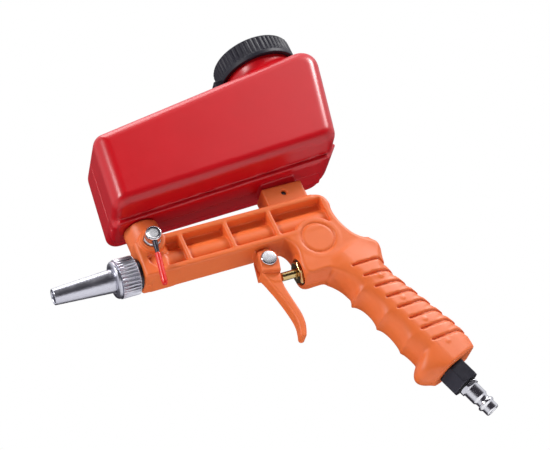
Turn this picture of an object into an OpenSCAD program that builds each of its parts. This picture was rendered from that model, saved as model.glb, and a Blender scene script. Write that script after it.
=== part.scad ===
// Gravity-feed abrasive blaster gun: a moulded pistol body with a hopper on top,
// a clamped nozzle at the front, a side lever that opens the abrasive feed, a trigger
// that pushes a spring-loaded air valve open, and a quick-connect plug under the grip.
// X runs from the nozzle back to the grip, Z is up, and the origin is the nozzle outlet.

/* [Barrel] */
// Half of the barrel's width
barrel_half = 13; // [12:0.5:15]
// Height of the barrel's top above the nozzle axis
barrel_top = 19.2; // [18:0.2:22]
// Depth of the barrel's underside below the nozzle axis
barrel_low = 10.3; // [10:0.1:12]
// Distance from one pocket rib to the next
rib_pitch = 34.7; // [30:0.1:36]
// Thickness of a pocket rib and of a pocket rim
rib = 3; // [2:0.5:4]

/* [Nozzle] */
// Radius of the nozzle's bore
nozzle_bore_r = 4.6; // [2:0.1:5]
// Radius of the nozzle's tip
nozzle_tip_r = 5.9; // [5.6:0.1:7]
// Length of the nozzle in front of its nut
nozzle_len = 44; // [36:1:50]
// Outer radius of the knurled nut
nut_r = 14.3; // [13:0.1:16]
// Length of the knurled nut
nut_len = 17; // [15:0.5:17]

/* [Trigger] */
// How far the trigger's pivot lies behind the nozzle outlet
pivot_x = 154.8; // [153:0.2:157]
// Height of the trigger's pivot
pivot_z = -20.5; // [-22:0.5:-19]
// Half of the trigger's width at its ears
ear_half = 9; // [8:0.5:10]

/* [Grip] */
// Angle between the grip and a line straight down
grip_tilt = 20.5; // [15:0.5:25]
// Length of the grip below the valve housing
grip_len = 118; // [110:1:125]
// Half of the grip's width
grip_half = 15; // [13:0.5:17]
// Depth of the finger grooves
finger_depth = 5.8; // [2:0.1:7]

/* [Hopper] */
// Half of the hopper's width at its front
hopper_half_front = 33; // [30:1:36]
// Half of the hopper's width at its rear
hopper_half_rear = 38; // [36:1:42]
// Wall thickness of the hopper
hopper_wall = 2.2; // [1.5:0.1:3]
// Outer radius of the filler neck
neck_r = 27.9; // [26:0.1:28]
// Outer radius of the screw cap
cap_r = 31.9; // [30:0.1:34]
// Height of the screw cap
cap_h = 18; // [15:0.1:20]

/* [Hidden] */
$fn = 64;
far = 200;            // longer than any cut needs
skin = 0.05;          // radial play of a part that turns or slides in a bore
gap = 0.1;            // play between flat faces of parts that move apart

// Pocket rows along the barrel
rib_x = [for (k = [0:2]) 99.4 + k * rib_pitch];
pocket_front = 88;
pocket_rear = 211;
pocket_low = -6;
pocket_high = 15;
web_half = 4.5;       // half thickness of the web between the two rows of pockets
duct_r = 10;          // moulded bulge around the air tube

// Feed valve: a plug that turns across the abrasive's way down
feed_x = 78;
feed_z = 15.4;
spindle_r = 6;
feed_bore_r = 5.5;
knob_r = 5.8;
knob_front = -25;
knob_back = -16.6;
wire_y = -22;
wire_r = 1.5;
wire_lean = 9.6;
lever_reach = 41;
sleeve_start = 16;

// Front block, collar and nut
block_front = 64;
block_corner = 3;
socket_r = 13;
socket_top = 33.2;
collar_r = 11.35;
collar_front = nozzle_len + 7;
flange_front = nozzle_len + 3;
nut_teeth = 34;

// Post that carries the rear of the hopper
post = [172.5, 204.4];
post_half = 10;
post_top = 35.2;
post_hole = [188.3, 28.3];

// Round plate for a badge on each side of the valve housing, and the trigger's lug
medallion = [195.5, -16.6];
lug_r = 6;
lug_half = 5.5;
// The trigger's blade, from under the ears to its tip: x and z of its middle, and half of its thickness
blade_half = 5.5;
blade_spine = [[153.4, -29, 6.6], [154.2, -36, 4.5], [154.8, -43, 2.7], [155.8, -52, 2.5], [157.4, -60.5, 2.4],
               [158.5, -67.5, 2.3], [158.2, -74, 2.3], [156.2, -80.3, 2.1], [154.5, -84.3, 1.5]];

// Trigger valve
valve_z = -33.4;
valve_bore_r = 7.5;
valve_end = 224;
gland_front = 172.5;
gland_seat = 177;
pin_front = 160.4;
pin_r = 3.2;
seat_x = [199, 202.5];
poppet_len = 4;
spring_r = 4.2;
spring_wire = 0.6;
spring_turns = 6;

// Grip line: s runs down the grip, t runs across it towards the back
grip_top = [205, -30];
duct_t = 1.5;
inlet_hex = 15.3;
plug_len = 26.3;
finger_pitch = 24.5;
finger_first = 8.6;
rings = 44;

// Hopper: heights of its underside, crease and top, worked out from the distance back
tank_front = 57.4;
tank_rear = 236;
front_lean = 0.095;
rear_lean = 0.235;
function bottom_z(x) = 34 + 0.0494 * (x - 57);
function top_z(x) = 106.7 + 0.1634 * (x - 79);
function part_way(x) = (x - tank_front) / (tank_rear - tank_front);
function crease_half(x) = hopper_half_front + (hopper_half_rear - hopper_half_front) * part_way(x);
function bottom_half(x) = 13.5 + 4.5 * part_way(x);
neck_x = 216.9;
neck_top = 149;
cap_low = 137.3;
cap_ribs = 56;
tab_reach = 6.5;      // thumb tab on the cap's rim
tab_low = -3;
liner_r = 27.4;

// A cylinder along X from x0 to x1 at height z
module along_x(r, x0, x1, z = 0) translate([x0, 0, z]) rotate([0, 90, 0]) cylinder(r = r, h = x1 - x0);

// A cylinder along Y from y0 to y1, on the line through x and z
module along_y(r, x, z, y0, y1) translate([x, y1, z]) rotate([90, 0, 0]) cylinder(r = r, h = y1 - y0);

// A side view drawn in X and Z, made half as thick again on each side of the centre plane
module side_plate(points, half) rotate([90, 0, 0]) linear_extrude(2 * half, center = true) polygon(points);

// Places a child in the grip's own frame: X across the grip, -Z down along it
module on_grip() translate([grip_top[0], 0, grip_top[1]]) rotate([0, -grip_tilt, 0]) children();

// Closes a stack of rings, each a list of points, into one solid
module loft(stack) {
    n = len(stack[0]);
    m = len(stack);
    points = [for (ring = stack) each ring];
    sides = [for (i = [0:m - 2], j = [0:n - 1])
        let (a = i * n + j, b = i * n + (j + 1) % n)
        each [[a, a + n, b], [b, a + n, b + n]]];
    ends = [[for (j = [0:n - 1]) j], [for (j = [n - 1:-1:0]) (m - 1) * n + j]];
    polyhedron(points, concat(sides, ends), convexity = 6);
}

// A wavy disc outline with evenly spaced ribs
function ribbed(r, depth, count) =
    [for (i = [0:2 * count - 1]) let (a = 180 * i / count, q = r - (i % 2) * depth) q * [cos(a), sin(a)]];

// Front of the grip: shallow arcs for the fingers that meet in soft points
function finger(s) =
    let (u = ((s - finger_first) / finger_pitch - floor((s - finger_first) / finger_pitch)) * 2 - 1)
    finger_depth * (1 - sqrt(1 - pow(0.95 * u, 2))) / (1 - sqrt(1 - pow(0.95, 2)));
function grip_front(s) = s < 100 ? -11.2 - 0.02 * s - finger(s) : -24 + 0.12 * pow(s - 108, 2);
function grip_back(s) = s < 30 ? 32 - 10 * sqrt(max(0, (s - 8) / 22)) : s < 96 ? 22 + 0.097 * (s - 30) : 28.4 - 0.13 * (s - 96);
function grip_ring(s) =
    let (f = grip_front(s), b = grip_back(s), c = (f + b) / 2, w = (b - f) / 2, end = s > 112 ? s - 112 : 0)
    [for (i = [0:31]) let (a = -360 * i / 32, p = 0.62)
        [c + (w - 0.3 * end) * sign(cos(a)) * pow(abs(cos(a)), p),
         (grip_half - 0.3 * end) * sign(sin(a)) * pow(abs(sin(a)), p), -s]];

// Front block: flat in front for the collar, and round above for the hopper's outlet
module front_block() {
    translate([0, 0, -barrel_low]) linear_extrude(barrel_low + barrel_top - 1) {
        translate([block_front + block_corner, -barrel_half]) square([10, 2 * barrel_half]);
        translate([block_front, block_corner - barrel_half]) square([10, 2 * (barrel_half - block_corner)]);
        for (side = [-1, 1])
            translate([block_front + block_corner, side * (barrel_half - block_corner)]) circle(r = block_corner);
    }
    translate([feed_x, 0, -barrel_low]) cylinder(r = socket_r, h = socket_top + barrel_low);
}

module barrel_block() {
    difference() {
        union() {
            side_plate([[70, -barrel_low], [206, -barrel_low], [206, barrel_top], [70, barrel_top]], barrel_half);
            front_block();
            shoulder();
        }
        edges = concat([pocket_front], rib_x, [pocket_rear]);
        for (side = [-1, 1], k = [0:3]) {
            start = edges[k] + (k == 0 ? 0 : rib / 2);
            end = edges[k + 1] - (k == 3 ? 0 : rib / 2);
            low_y = side > 0 ? web_half : -far;
            translate([start, low_y, pocket_low]) cube([end - start, far - web_half, pocket_high - pocket_low]);
        }
    }
    along_x(duct_r, pocket_front - 1, pocket_rear + 1);
}

module shoulder() {
    side_plate([[172, -10], [175, -14.5], [176.3, -20], [175.8, -30], [174.6, -36], [177, -40],
                [184, -41.5], [191, -41], [197, -45], [202, -54], [228, -52], [233.5, -42], [237.5, -33],
                [234.6, -29.6], [227.2, -24.2], [221.7, -17.9], [217, -7.3], [215.6, 2.4], [216.8, 9.3],
                [215, 15.5], [210, 19.2], [200, 19.2], [200, -10]], barrel_half - 1);
}

module gun_body() {
    color("darkorange") difference() {
        union() {
            barrel_block();
            on_grip() loft([for (k = [0:rings]) grip_ring(10 + (grip_len - 10) * k / rings)]);
            along_y(8.5, feed_x, feed_z, -barrel_half - 3, barrel_half + 1);
            translate([post[0], -post_half, barrel_top - 2])
                cube([post[1] - post[0], 2 * post_half, post_top - barrel_top + 2]);
            translate([pivot_x - lug_r, -lug_half, pivot_z]) cube([2 * lug_r, 2 * lug_half, 1 - barrel_low - pivot_z]);
            along_y(lug_r, pivot_x, pivot_z, -lug_half, lug_half);
            along_x(11.2, 174.6, 205, valve_z);
            along_y(17.3, medallion[0], medallion[1], 1 - barrel_half, barrel_half - 1);
        }
        along_x(9.5, 50, 72);
        along_x(6, 60, 88.1);
        along_x(5, 88, 98.1);
        along_x(4, 98, 198);
        translate([feed_x, 0, 0]) cylinder(r = feed_bore_r, h = far);
        translate([feed_x, 0, 25]) cylinder(r = 8.7, h = far);
        along_y(spindle_r + skin, feed_x, feed_z, -far, far);
        along_y(2.5, pivot_x, pivot_z, -far, far);
        along_x(9.8, 160, gland_seat, valve_z);
        along_x(valve_bore_r, gland_seat - 1, valve_end, valve_z);
        translate([194.5, 0, valve_z]) cylinder(r = 3.2, h = -valve_z);
        on_grip() translate([duct_t, 0, -far]) cylinder(r = 4, h = far - 2);
        on_grip() translate([duct_t, 0, -far]) cylinder(r = 6.6, h = far - 104);
        translate([post_hole[0] - 6, -4, 23]) cube([12, 8, far]);
        along_y(2, post_hole[0], post_hole[1], -far, far);
    }
}

module air_tube() color("lightslategray") difference() {
    along_x(4, 98.2, 190);
    along_x(2.8, 90, far);
}

module air_jet() color("goldenrod") difference() {
    union() {
        along_x(5, 88.2, 98);
        along_x(3, 71, 88.3);
    }
    along_x(1.2, 60, 90);
    along_x(2.4, 86, far);
}

module jet_seal() color("black") translate([87.2, 0, 0]) rotate([0, 90, 0])
    rotate_extrude() translate([4.2, 0]) circle(r = 0.9, $fn = 24);

module nozzle_collar() color("black") difference() {
    union() {
        along_x(collar_r, collar_front, block_front - 0.05);
        along_x(9.45, block_front - 1, 71.9);
    }
    along_x(6.5, 40, 80);
}

module nozzle_seal() color("black") difference() {
    along_x(10.4, collar_front - 1.05, collar_front - 0.05);
    along_x(6.6, 40, 80);
}

module nozzle() color("silver") rotate([0, 90, 0]) rotate_extrude() polygon([
    [nozzle_bore_r, 0], [nozzle_tip_r - 0.4, 0], [nozzle_tip_r, 0.5], [8.4, nozzle_len - 2],
    [8.4, flange_front + gap / 2], [10.6, flange_front + gap / 2], [10.6, collar_front - 1.2],
    [6.4, collar_front - 1.2], [nozzle_bore_r, collar_front - 15]]);

module nozzle_nut() color("silver") difference() {
    translate([nozzle_len, 0, 0]) rotate([0, 90, 0]) {
        cylinder(r1 = nut_r - 2.4, r2 = nut_r - 1.4, h = 1.3);
        translate([0, 0, 1.2]) linear_extrude(nut_len - 1.2) polygon(ribbed(nut_r, 0.8, nut_teeth));
    }
    along_x(8.7, 40, 80);
    along_x(collar_r + skin, flange_front, 80);
}

module blade_plate(swell, half) side_plate(concat(
    [for (p = blade_spine) [p[0] - swell * p[2], p[1]]],
    [for (i = [len(blade_spine) - 1:-1:0]) [blade_spine[i][0] + swell * blade_spine[i][2], blade_spine[i][1]]]), half);

module trigger() color("darkorange") difference() {
    union() {
        side_plate([[149.2, -12.9], [157, -12.3], [161.8, -17], [162, -23], [159.8, -31.7], [146.2, -28.6]],
                   ear_half);
        blade_plate(1, blade_half - 1.5);
        blade_plate(0.6, blade_half);
    }
    translate([pivot_x - far / 2, -lug_half - 0.3, pivot_z - lug_r - 0.7]) cube([far, 2 * lug_half + 0.6, far]);
    along_y(2.5 + skin, pivot_x, pivot_z, -far, far);
}

module trigger_pin() color("gainsboro") {
    along_y(2.5, pivot_x, pivot_z, -ear_half - 0.3, ear_half + 1.6);
    along_y(5.9, pivot_x, pivot_z, -ear_half - 1.8, -ear_half - 0.2);
}

module trigger_pin_clip() color("dimgray") difference() {
    along_y(4.6, pivot_x, pivot_z, ear_half + 0.2, ear_half + 1);
    along_y(2.5, pivot_x, pivot_z, -far, far);
}

module valve_gland() color("goldenrod") difference() {
    union() {
        translate([gland_front, 0, valve_z]) rotate([0, 90, 0]) cylinder(r = 9.2, h = gland_seat - gland_front - 1, $fn = 6);
        along_x(valve_bore_r, gland_seat - 1.1, 190, valve_z);
    }
    along_x(pin_r + skin, 160, far, valve_z);
    along_x(5.5, 185.5, far, valve_z);
}

module gland_washer() color("dimgray") difference() {
    along_x(9.4, gland_seat - 0.95, gland_seat, valve_z);
    along_x(valve_bore_r, 160, far, valve_z);
}

module stem_seal() color("black") difference() {
    along_x(5.4, 186, 188.8, valve_z);
    along_x(pin_r + skin, 160, far, valve_z);
}

module valve_pin() color("goldenrod") {
    along_x(pin_r, pin_front, 194, valve_z);
    along_x(1.6, 193.9, seat_x[1] + gap, valve_z);
}

module valve_poppet() color("black") along_x(5, seat_x[1] + gap, seat_x[1] + gap + poppet_len, valve_z);

module valve_seat() color("goldenrod") difference() {
    along_x(valve_bore_r, seat_x[0], seat_x[1], valve_z);
    along_x(3, seat_x[0] - 1, seat_x[1] + 1, valve_z);
}

module valve_spring() {
    start = seat_x[1] + gap + poppet_len + spring_wire + 0.1;
    length = valve_end - spring_wire - 0.1 - start;
    steps = 12;
    count = spring_turns * steps;
    color("silver") translate([start, 0, valve_z]) loft([for (k = [0:count])
        let (a = 360 * k / steps, q = length * k / count)
        [for (j = [0:5]) let (b = 60 * j, r = spring_r + spring_wire * cos(b))
            [q + spring_wire * sin(b), r * cos(a), r * sin(a)]]]);
}

module inlet_adapter() color("black") on_grip() translate([duct_t, 0, 0]) difference() {
    union() {
        translate([0, 0, -grip_len - inlet_hex]) cylinder(r = 12.1, h = inlet_hex, $fn = 6);
        translate([0, 0, -grip_len - 1]) cylinder(r = 6.55, h = 13);
    }
    translate([0, 0, -far]) cylinder(r = 4, h = far);
    translate([0, 0, -grip_len - inlet_hex - 1]) cylinder(r = 5.05, h = 13);
}

module inlet_seal() color("dimgray") on_grip() translate([duct_t, 0, -grip_len - inlet_hex - 1]) difference() {
    cylinder(r = 7.4, h = 0.95);
    translate([0, 0, -1]) cylinder(r = 5.1, h = 3);
}

module inlet_plug() color("silver") on_grip() translate([duct_t, 0, -grip_len - inlet_hex]) difference() {
    union() {
        translate([0, 0, -4.2]) cylinder(r = 8.1, h = 3.15, $fn = 6);
        rotate([180, 0, 0]) rotate_extrude() polygon([
            [0, -11], [5, -11], [5, 2], [6.3, 2], [6.3, 13.2], [5.2, 14.6], [5.2, 17.4], [6.7, 18.4],
            [6.7, 19.8], [5.4, 21], [5.4, plug_len - 0.6], [4.8, plug_len], [0, plug_len]]);
    }
    translate([0, 0, -far / 2]) cylinder(r = 3.4, h = far);
}

module feed_spindle() color("silver") difference() {
    along_y(spindle_r, feed_x, feed_z, knob_back, barrel_half + 3.4);
    for (y = [-10, 10]) translate([feed_x, y, feed_z]) rotate([90, 0, 0]) difference() {
        cylinder(r = far, h = 2, center = true);
        cylinder(r = 4.4, h = 3, center = true);
    }
    along_x(4.4, feed_x - 10, feed_x + 10, feed_z);
    difference() {
        along_y(far, feed_x, feed_z, barrel_half + 1.2, barrel_half + 2.4);
        along_y(4.6, feed_x, feed_z, 0, far);
    }
}

module lever_frame() translate([feed_x, wire_y, feed_z]) rotate([0, wire_lean, 0]) children();

module feed_knob() color("gainsboro") difference() {
    union() {
        along_y(knob_r, feed_x, feed_z, knob_front + 0.8, knob_back - 0.05);
        along_y(knob_r - 0.7, feed_x, feed_z, knob_front, knob_front + 1);
    }
    lever_frame() translate([0, 0, -20]) cylinder(r = wire_r, h = 18);
}

module lever_wire() color("black") lever_frame() translate([0, 0, -lever_reach + 2]) cylinder(r = wire_r, h = lever_reach - 4.2);

module lever_sleeve() color("red") lever_frame() difference() {
    translate([0, 0, -lever_reach]) cylinder(r = 2.2, h = lever_reach - sleeve_start);
    translate([0, 0, -lever_reach + 1.9]) cylinder(r = wire_r, h = lever_reach);
}

module spindle_seals() color("black") for (y = [-10, 10]) translate([feed_x, y, feed_z]) rotate([90, 0, 0])
    rotate_extrude() translate([5.2, 0]) circle(r = 0.75, $fn = 24);

module spindle_clip() color("dimgray") difference() {
    along_y(8, feed_x, feed_z, barrel_half + 1.3, barrel_half + 2.3);
    along_y(4.65, feed_x, feed_z, 0, far);
}

// One ring of the hopper, part way u from the front, drawn inset by e
function tank_ring(u, e) =
    let (x = tank_front + u * (tank_rear - tank_front), b = bottom_z(x) + min(e, 6), t = top_z(x) - e,
         wb = bottom_half(x) - e * 0.6, wc = crease_half(x) - e, wt = wc - 2,
         half = [[wb, b], [wb + 0.8, b + 2.2], [wb + 2.5, b + 3], [wc - 4, b + 5.5], [wc - 1, b + 8],
                 [wc, b + 12], [wt + 0.6, t - 18], [wt, t - 9], [wt - 2.6, t - 3.2], [wt - 8, t - 0.4]],
         n = len(half))
    [for (i = [0:2 * n - 1])
        let (p = i < n ? half[i] : half[2 * n - 1 - i], y = i < n ? p[0] : -p[0], rise = p[1] - 35,
             front = tank_front + front_lean * rise, rear = tank_rear + rear_lean * rise)
        [front + u * (rear - front), y, p[1]]];

module tank_form(e) loft([for (k = [[0, 9], [0.008, 5], [0.03, 1.8], [0.07, 0], [0.5, 0], [0.955, 0], [0.99, 2.2], [1, 6]])
    let (u = e / 180 + k[0] * (1 - e / 90)) tank_ring(u, k[1] + e)]);

module hopper() color("crimson") difference() {
    union() {
        tank_form(0);
        translate([neck_x, 0, 120]) cylinder(r = neck_r, h = neck_top - 120);
        translate([feed_x, 0, 25.2]) cylinder(r = 8.6, h = 12);
        translate([post[0] + 2, -8.5, post_top + 0.05]) cube([27.5, 17, 6]);
        translate([post_hole[0] - 5.9, -3.9, 23.2]) cube([11.8, 7.8, 16]);
    }
    tank_form(hopper_wall);
    translate([neck_x, 0, 100]) cylinder(r = neck_r - 2.8, h = far);
    translate([feed_x, 0, 10]) cylinder(r = 6.2, h = 40);
    along_y(2, post_hole[0], post_hole[1], -far, far);
}

module outlet_gasket() color("black") translate([feed_x, 0, socket_top + 0.02]) difference() {
    cylinder(r = 11.6, h = 0.9);
    translate([0, 0, -1]) cylinder(r = 8.8, h = 3);
}

module hopper_pin() color("dimgray") along_y(1.95, post_hole[0], post_hole[1], -post_half + 2.5, post_half - 0.5);

module hopper_cap() color([0.13, 0.13, 0.16]) translate([neck_x, 0, cap_low]) difference() {
    union() {
        cylinder(r = cap_r, h = 3.6);
        translate([0, 0, 3.5]) linear_extrude(cap_h - 4.5) polygon(ribbed(cap_r - 0.2, 0.7, cap_ribs));
        translate([0, 0, cap_h - 1.2]) cylinder(r1 = cap_r - 1.6, r2 = cap_r - 2.6, h = 1.2);
        translate([-cap_r - tab_reach, -5, tab_low]) cube([tab_reach + 2, 10, 3.4 - tab_low]);
    }
    translate([0, 0, -1]) cylinder(r = neck_r + 0.5, h = cap_h - 2);
}

module cap_liner() color("whitesmoke") translate([neck_x, 0, neck_top + 0.3]) cylinder(r = liner_r, h = 2.7);

gun_body();
air_tube();
air_jet();
jet_seal();
nozzle_collar();
nozzle_seal();
nozzle();
nozzle_nut();
trigger();
trigger_pin();
trigger_pin_clip();
valve_gland();
gland_washer();
stem_seal();
valve_pin();
valve_poppet();
valve_seat();
valve_spring();
inlet_adapter();
inlet_seal();
inlet_plug();
feed_spindle();
feed_knob();
lever_wire();
lever_sleeve();
spindle_seals();
spindle_clip();
hopper();
outlet_gasket();
hopper_pin();
hopper_cap();
cap_liner();
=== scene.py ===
"""Looks of the hand-held sand blaster gun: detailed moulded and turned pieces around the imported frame.

Shapes are made in millimetres, in the frame's own axes, and become metres when a mesh is made.
Moulded parts are solids held as signed distances on a grid; turned parts are profiles spun round an axis.
"""
import bpy
import bmesh
import itertools
import math
import numpy as np
from mathutils import Matrix, Vector


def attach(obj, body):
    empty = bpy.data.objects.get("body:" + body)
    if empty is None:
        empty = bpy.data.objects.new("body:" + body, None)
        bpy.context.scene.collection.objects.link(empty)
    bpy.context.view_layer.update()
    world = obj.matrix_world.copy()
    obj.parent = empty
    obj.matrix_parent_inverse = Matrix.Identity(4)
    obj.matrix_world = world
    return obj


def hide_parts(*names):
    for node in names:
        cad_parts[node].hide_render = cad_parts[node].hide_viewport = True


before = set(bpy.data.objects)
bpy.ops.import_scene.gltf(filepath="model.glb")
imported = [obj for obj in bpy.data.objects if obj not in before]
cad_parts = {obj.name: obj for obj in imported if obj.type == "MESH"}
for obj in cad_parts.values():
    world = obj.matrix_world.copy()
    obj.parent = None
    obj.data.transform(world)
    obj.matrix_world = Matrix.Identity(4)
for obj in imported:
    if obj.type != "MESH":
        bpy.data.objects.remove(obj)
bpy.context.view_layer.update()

MM = 0.001

# Barrel, blocks and pockets of the gun body
BARREL_HALF = 13.0
BARREL_LOW, BARREL_TOP = -10.3, 19.2
BLOCK_FRONT, BLOCK_CORNER = 64.0, 3.0
SOCKET_R, SOCKET_TOP, GASKET_R, GASKET_Z = 13.0, 34.4, 11.7, 33.2
POCKET = (84.0, 211.0, -6.0, 15.0)  # x from and to, z from and to
RIB_FIRST, RIB_PITCH, RIB = 99.4, 34.7, 3.0
WEB_HALF, DUCT_R = 4.5, 10.0
POST = (172.5, 204.4, 10.0, 35.2)  # x from and to, half width, top
POST_HOLE, POST_HOLE_R = (188.3, 28.3), 2.1
MEDALLION = (195.5, -16.6, 17.3)  # x, z and radius
RING_R = 12.3
FEED_X, FEED_Z, SPINDLE_R, BOSS_R = 78.0, 15.4, 6.0, 8.9
PIVOT, PIN_HOLE_R = (154.8, -20.5), 2.6
VALVE_Z, VALVE_BORE, GLAND_BORE = -33.4, 7.6, 9.8
THROUGH = (-40, 40)  # from side to side of everything
LEVER_Y, LEVER_LEAN = -22.0, 9.6

# Grip: its own frame runs down (s) and across (t)
GRIP_TOP = (205.0, -30.0)
GRIP_TILT = math.radians(20.5)
GRIP_LEN, GRIP_HALF = 118.0, 15.0
DUCT_T = 1.5
FINGER_FIRST, FINGER_PITCH = 10.8, 24.5
GROOVE_FIRST, GROOVE_PITCH, GROOVE_DEPTH, GROOVES = 17.3, 11.23, 2.0, 8
FINGER_DEPTH = [(0, 5.2), (33, 5.8), (84, 2.6), (118, 1.2)]
BACK_LINE = [(6, 31), (10, 32), (18, 29.4), (24, 25.6), (30, 22.2), (39, 21.6), (96, 28.6), (108, 28),
             (118, 25.6)]

# Hopper
TANK_FRONT, TANK_REAR = 57.4, 236.0
FRONT_LEAN, REAR_LEAN, ROOF_SLOPE, UNDER_SLOPE = 0.095, 0.235, 0.1634, 0.0494
WALL = 2.2
NECK_X, NECK_R, NECK_TOP = 216.9, 27.9, 149.0
CAP_R, CAP_LOW, CAP_H, CAP_RIBS = 31.9, 137.3, 18.0, 56

# Grid steps of the moulded pieces
BODY_CELL, TRIGGER_CELL, HOPPER_CELL, TAB_CELL = 0.8, 0.42, 1.2, 0.4

# The adapter's length under the grip, and the hexagons' half widths across flats
ADAPTER_LEN = 15.3
GLAND_FLATS, ADAPTER_FLATS, PLUG_FLATS = 7.97, 10.48, 7.3


# ---------------------------------------------------------------- signed-distance modelling

def soft_min(a, b, k):
    if k <= 0:
        return np.minimum(a, b)
    h = np.maximum(k - np.abs(a - b), 0) / k
    return np.minimum(a, b) - h * h * k / 4


def soft_max(a, b, k):
    return -soft_min(-a, -b, k)


def round_max(a, b, r):
    """Both a and b, with the edge where they meet rounded to radius r."""
    outside = np.hypot(np.maximum(a + r, 0), np.maximum(b + r, 0))
    return np.minimum(np.maximum(a + r, b + r), 0) + outside - r


def span(v, low, high):
    return np.abs(v - (low + high) / 2) - (high - low) / 2


def outline(points, x, z):
    """Signed distance from (x, z) to a closed outline, negative inside."""
    best = np.full(np.broadcast(x, z).shape, 1e9)
    inside = np.zeros(best.shape, bool)
    for (ax, az), (bx, bz) in zip(points, points[1:] + points[:1]):
        ex, ez = bx - ax, bz - az
        t = np.clip(((x - ax) * ex + (z - az) * ez) / (ex * ex + ez * ez), 0, 1)
        best = np.minimum(best, (x - ax - t * ex) ** 2 + (z - az - t * ez) ** 2)
        if bz != az:
            inside ^= ((az > z) != (bz > z)) & (x < ex * (z - az) / ez + ax)
    return np.where(inside, -1, 1) * np.sqrt(best)


def chain(points, x, z):
    """Distance from (x, z) to an open line whose points hold x, z and half thickness."""
    best = np.full(np.broadcast(x, z).shape, 1e9)
    for (ax, az, ar), (bx, bz, br) in zip(points, points[1:]):
        ex, ez = bx - ax, bz - az
        t = np.clip(((x - ax) * ex + (z - az) * ez) / (ex * ex + ez * ez), 0, 1)
        best = np.minimum(best, np.hypot(x - ax - t * ex, z - az - t * ez) - ar - t * (br - ar))
    return best


def spline(p0, p1, p2, p3, t):
    """The point at share t of the way from p1 to p2, on a smooth curve through all four."""
    return 0.5 * (2 * p1 + (p2 - p0) * t + (2 * p0 - 5 * p1 + 4 * p2 - p3) * t * t
                  + (3 * p1 - p0 - 3 * p2 + p3) * t ** 3)


def curved(points, steps=4):
    """A closed smooth curve through the points."""
    p = [np.array(q, float) for q in points]
    n = len(p)
    return [tuple(spline(p[i - 1], p[i], p[(i + 1) % n], p[(i + 2) % n], k / steps))
            for i in range(n) for k in range(steps)]


def smoothed(points, steps=4):
    """An open smooth curve through the points."""
    p = [np.array(q, float) for q in [points[0]] + points + [points[-1]]]
    dense = [spline(*p[i - 1:i + 3], k / steps) for i in range(1, len(p) - 2) for k in range(steps)]
    return [tuple(q) for q in dense + [p[-2]]]


def read_off(s, line):
    """The height at s on a broken line of (s, height) points."""
    return np.interp(s, *zip(*line))


def plate(points, half, edge):
    """A side view in X and Z with thickness in Y and rounded edges."""
    return lambda x, y, z: round_max(outline(points, x, z), np.abs(y) - half, edge)


def along_x(r, x0, x1, z0=0.0, edge=0.4):
    return lambda x, y, z: round_max(np.hypot(y, z - z0) - r, span(x, x0, x1), edge)


def along_y(r, x0, z0, y0, y1, edge=0.4):
    return lambda x, y, z: round_max(np.hypot(x - x0, z - z0) - r, span(y, y0, y1), edge)


def along_z(r, x0, z0, z1, edge=0.4):
    return lambda x, y, z: round_max(np.hypot(x - x0, y) - r, span(z, z0, z1), edge)


def block(x0, x1, y0, y1, z0, z1, edge=0.6):
    def shape(x, y, z):
        upright = round_max(span(x, x0, x1), span(y, y0, y1), edge)
        return round_max(upright, span(z, z0, z1), edge)
    return shape


class Clay:
    """A solid held as signed distances in millimetres on a grid, negative inside."""

    OUTSIDE = 30.0  # held wherever no shape has been added

    def __init__(self, low, high, cell):
        self.cell = cell
        self.axes = [np.arange(a - 2.5 * cell, b + 3.5 * cell, cell) for a, b in zip(low, high)]
        self.d = np.full([len(a) for a in self.axes], self.OUTSIDE)

    def window(self, low, high):
        part = tuple(slice(*np.searchsorted(a, (lo, hi))) for a, lo, hi in zip(self.axes, low, high))
        x, y, z = (a[s] for a, s in zip(self.axes, part))
        return part, x[:, None, None], y[None, :, None], z[None, None, :]

    def everywhere(self):
        far = 1e6
        return self.window((-far,) * 3, (far,) * 3)

    def add(self, shape, low, high, blend=0.0):
        part, x, y, z = self.window(low, high)
        self.d[part] = soft_min(self.d[part], shape(x, y, z), blend)

    def cut(self, shape, low, high, blend=0.0):
        part, x, y, z = self.window(low, high)
        self.d[part] = soft_max(self.d[part], -shape(x, y, z), blend)

    def surface(self):
        """Points and four-sided faces of the surface, by surface nets."""
        inside = self.d < 0
        n = np.array(self.d.shape)
        corner = [np.array(c) for c in itertools.product((0, 1), repeat=3)]
        count = np.zeros(n - 1, np.int8)
        for c in corner:
            count += inside[tuple(slice(o, m - 1 + o) for o, m in zip(c, n))]
        cells = np.argwhere((count > 0) & (count < 8))
        index = np.full(n - 1, -1)
        index[tuple(cells.T)] = np.arange(len(cells))
        total = np.zeros((len(cells), 3))
        crossings = np.zeros(len(cells))
        for axis in range(3):
            step = np.eye(3, dtype=int)[axis]
            for c in corner:
                if c[axis]:
                    continue
                a = self.d[tuple((cells + c).T)]
                b = self.d[tuple((cells + c + step).T)]
                hit = (a < 0) != (b < 0)
                share = a[hit] / (a[hit] - b[hit])
                total[hit] += c + share[:, None] * step
                crossings[hit] += 1
        start = np.array([a[0] for a in self.axes])
        points = start + (cells + total / crossings[:, None]) * self.cell
        faces = []
        for axis in range(3):
            u, v = (axis + 1) % 3, (axis + 2) % 3
            step = np.eye(3, dtype=int)
            first = tuple(slice(0, n[i] - 1) if i == axis else slice(1, n[i] - 1) for i in range(3))
            second = tuple(slice(1, n[i]) if i == axis else slice(1, n[i] - 1) for i in range(3))
            edge = np.argwhere(inside[first] != inside[second])
            edge += np.array([0 if i == axis else 1 for i in range(3)])
            around = [-step[u] - step[v], -step[v], 0 * step[u], -step[u]]
            quads = np.stack([index[tuple((edge + o).T)] for o in around], axis=1)
            outward = inside[tuple(edge.T)]
            quads[~outward] = quads[~outward][:, ::-1]
            faces.append(quads)
        return points, np.concatenate(faces)


# ---------------------------------------------------------------- meshes

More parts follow.
